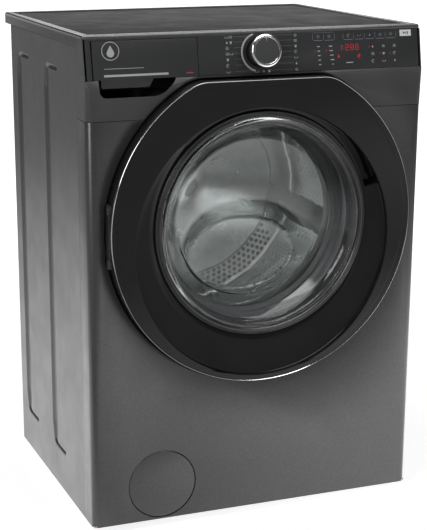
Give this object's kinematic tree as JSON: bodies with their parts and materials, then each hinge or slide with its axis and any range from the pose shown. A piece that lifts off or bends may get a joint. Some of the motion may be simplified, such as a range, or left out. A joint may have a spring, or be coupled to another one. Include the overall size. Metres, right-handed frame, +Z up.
{
  "type": "front load washing machine",
  "caption": "Anthracite front-loading washing machine: hinged porthole door with glass bowl, perforated drum, detergent drawer, programme dial, drain filter and levelling feet.",
  "frame": {"origin": "middle of the machine's footprint, on the floor it stands on", "axes": "+X to the right when facing the front, +Y from the front to the back, +Z up; the front faces -Y"},
  "size_m": [0.6, 0.54, 0.85],
  "materials": {
    "front_paint": "satin anthracite paint",
    "front_moulding": "satin graphite moulding",
    "gloss_black": "polished black plastic",
    "dark_plastic": "matt black plastic",
    "chrome_trim": "bright chrome",
    "worktop_laminate": "fine-grained worktop",
    "galvanised_steel": "galvanised",
    "stainless_drum": "polished stainless steel",
    "cast_aluminium": "as cast",
    "grey_rubber": "smooth moulded rubber",
    "black_rubber": "matt rubber",
    "white_plastic": "moulded polypropylene",
    "tub_plastic": "filled polypropylene",
    "concrete": "cast concrete",
    "bowl_glass": "clear moulded glass"
  },
  "bodies": {
    "cabinet": {"base_frame": "galvanised_steel", "left_side_panel": "front_paint", "right_side_panel": "front_paint", "rear_panel": "galvanised_steel", "rear_service_cover": "galvanised_steel", "front_panel": "front_paint", "upper_front_panel": "front_moulding", "porthole_surround": "dark_plastic", "control_fascia": "front_moulding", "worktop_frame": "front_moulding", "worktop_board": "worktop_laminate", "control_board": "white_plastic", "dispenser_housing": "white_plastic", "inlet_valve": "white_plastic", "mains_gland": "dark_plastic", "drain_outlet": "white_plastic", "door_lock": "dark_plastic", "door_gasket": "grey_rubber", "pump_housing": "white_plastic", "sump_hose": "black_rubber", "tub_front": "tub_plastic", "tub_rear": "tub_plastic", "front_counterweight": "concrete", "top_spring_left": "galvanised_steel", "top_spring_right": "galvanised_steel", "damper_cylinder_left": "dark_plastic", "damper_cylinder_right": "dark_plastic", "damper_rod_left": "galvanised_steel", "damper_rod_right": "galvanised_steel", "motor": "cast_aluminium", "drum_bearing": "cast_aluminium", "hinge_bracket": "galvanised_steel", "drive_belt": "black_rubber", "heater": "stainless_drum"},
    "drum_assembly": {"drum": "stainless_drum", "drum_spider": "cast_aluminium", "lifter_1": "white_plastic", "lifter_2": "white_plastic", "lifter_3": "white_plastic", "drum_pulley": "cast_aluminium"},
    "motor_drive_pulley": {"motor_pulley": "cast_aluminium"},
    "door": {"door_ring": "gloss_black", "door_trim": "chrome_trim", "door_dish": "gloss_black", "bowl_bezel": "cast_aluminium", "door_bowl": "bowl_glass", "door_inner_frame": "dark_plastic", "hinge_arm": "galvanised_steel"},
    "door_pull": {"door_handle": "dark_plastic"},
    "latch": {"latch_hook": "galvanised_steel"},
    "dial": {"dial_knob": "dark_plastic", "dial_ring": "chrome_trim"},
    "detergent_drawer": {"drawer_front": "front_moulding", "drawer_tray": "white_plastic"},
    "pump_filter": {"filter_plug": "white_plastic"},
    "filter_flap": {"filter_cover": "front_paint"},
    "front_left_foot": {"foot_front_left": "black_rubber"},
    "front_right_foot": {"foot_front_right": "black_rubber"},
    "rear_left_foot": {"foot_rear_left": "black_rubber"},
    "rear_right_foot": {"foot_rear_right": "black_rubber"}
  },
  "joints": [
    {"name": "door_hinge", "type": "hinge", "parent": "cabinet", "child": "door", "pos_m": [-0.268, -0.258, 0.531], "axis": [0, 0, -1], "range_deg": [0, 140]},
    {"name": "handle_pull", "type": "hinge", "parent": "door", "child": "door_pull", "pos_m": [0.19486, -0.253, 0.6435], "axis": [-0.5, 0, 0.866], "range_deg": [0, 14], "stiffness_Nm_per_rad": 0.4},
    {"name": "latch_release", "type": "hinge", "parent": "door", "child": "latch", "pos_m": [0.225, -0.236, 0.531], "axis": [0, 0, 1], "range_deg": [0, 8.5]},
    {"name": "drum_spin", "type": "hinge", "parent": "cabinet", "child": "drum_assembly", "pos_m": [0, 0.144, 0.531], "axis": [0, -1, 0], "continuous": true},
    {"name": "motor_spin", "type": "hinge", "parent": "cabinet", "child": "motor_drive_pulley", "pos_m": [0.045, 0.186, 0.15], "axis": [0, -1, 0], "continuous": true},
    {"name": "programme_dial", "type": "hinge", "parent": "cabinet", "child": "dial", "pos_m": [0.001, -0.23177, 0.814], "axis": [0, -0.9833, 0.1819], "continuous": true},
    {"name": "drawer_slide", "type": "slide", "parent": "cabinet", "child": "detergent_drawer", "axis": [0, -1, 0], "range_m": [0, 0.23]},
    {"name": "filter_cover_pull", "type": "slide", "parent": "cabinet", "child": "filter_flap", "axis": [0, -1, 0], "range_m": [0, 0.06]},
    {"name": "filter_unscrew", "type": "hinge", "parent": "cabinet", "child": "pump_filter", "pos_m": [-0.175, -0.204, 0.084], "axis": [0, -1, 0], "range_deg": [0, 360]},
    {"name": "front_left_foot_turn", "type": "hinge", "parent": "cabinet", "child": "front_left_foot", "pos_m": [-0.25, -0.156, 0], "axis": [0, 0, 1], "range_deg": [-720, 720]},
    {"name": "rear_left_foot_turn", "type": "hinge", "parent": "cabinet", "child": "rear_left_foot", "pos_m": [-0.25, 0.176, 0], "axis": [0, 0, 1], "range_deg": [-720, 720]},
    {"name": "front_right_foot_turn", "type": "hinge", "parent": "cabinet", "child": "front_right_foot", "pos_m": [0.25, -0.156, 0], "axis": [0, 0, 1], "range_deg": [-720, 720]},
    {"name": "rear_right_foot_turn", "type": "hinge", "parent": "cabinet", "child": "rear_right_foot", "pos_m": [0.25, 0.176, 0], "axis": [0, 0, 1], "range_deg": [-720, 720]}
  ],
  "couplings": [
    {"joint": "motor_spin", "follows": "drum_spin", "ratio": 11.2},
    {"joint": "latch_release", "follows": "handle_pull", "ratio": 0.6}
  ]
}
